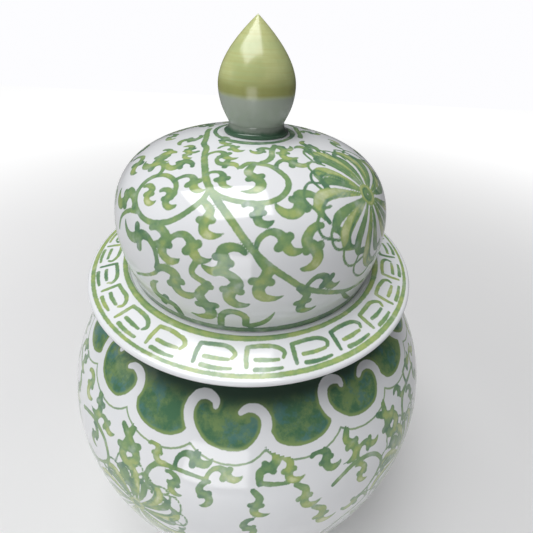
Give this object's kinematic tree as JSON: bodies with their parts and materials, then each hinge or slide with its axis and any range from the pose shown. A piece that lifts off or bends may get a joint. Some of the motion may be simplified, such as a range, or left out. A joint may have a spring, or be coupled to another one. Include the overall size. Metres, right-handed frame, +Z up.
{
  "type": "ginger jar",
  "caption": "Painted porcelain ginger jar on a foot ring, with a wide-brimmed domed lid that lifts off by a bud knob and locates inside the neck.",
  "frame": {"origin": "centre of the foot ring's resting face", "axes": "+Z up through the centres of the foot, the neck and the dome; the knob stands 1.5 mm off that line towards +X; -Y is the side first seen"},
  "size_m": [0.337, 0.337, 0.5001],
  "materials": {
    "bare_clay": "unglazed, matte",
    "white_glaze": "clear gloss glaze over white porcelain",
    "painted_glaze": "green brush painting under a clear gloss glaze",
    "knob_glaze": "yellow-green gloss glaze over white porcelain"
  },
  "bodies": {
    "jar": {"foot_ring": "bare_clay", "lower_body": "painted_glaze", "shoulder": "painted_glaze", "neck": "white_glaze"},
    "lid": {"locating_rim": "bare_clay", "brim": "painted_glaze", "dome": "painted_glaze", "knob_collar": "white_glaze", "knob": "knob_glaze"}
  },
  "joints": [
    {"name": "lid_lift", "type": "slide", "parent": "jar", "child": "lid", "axis": [0, 0, 1], "range_m": [0, 0.2]}
  ]
}
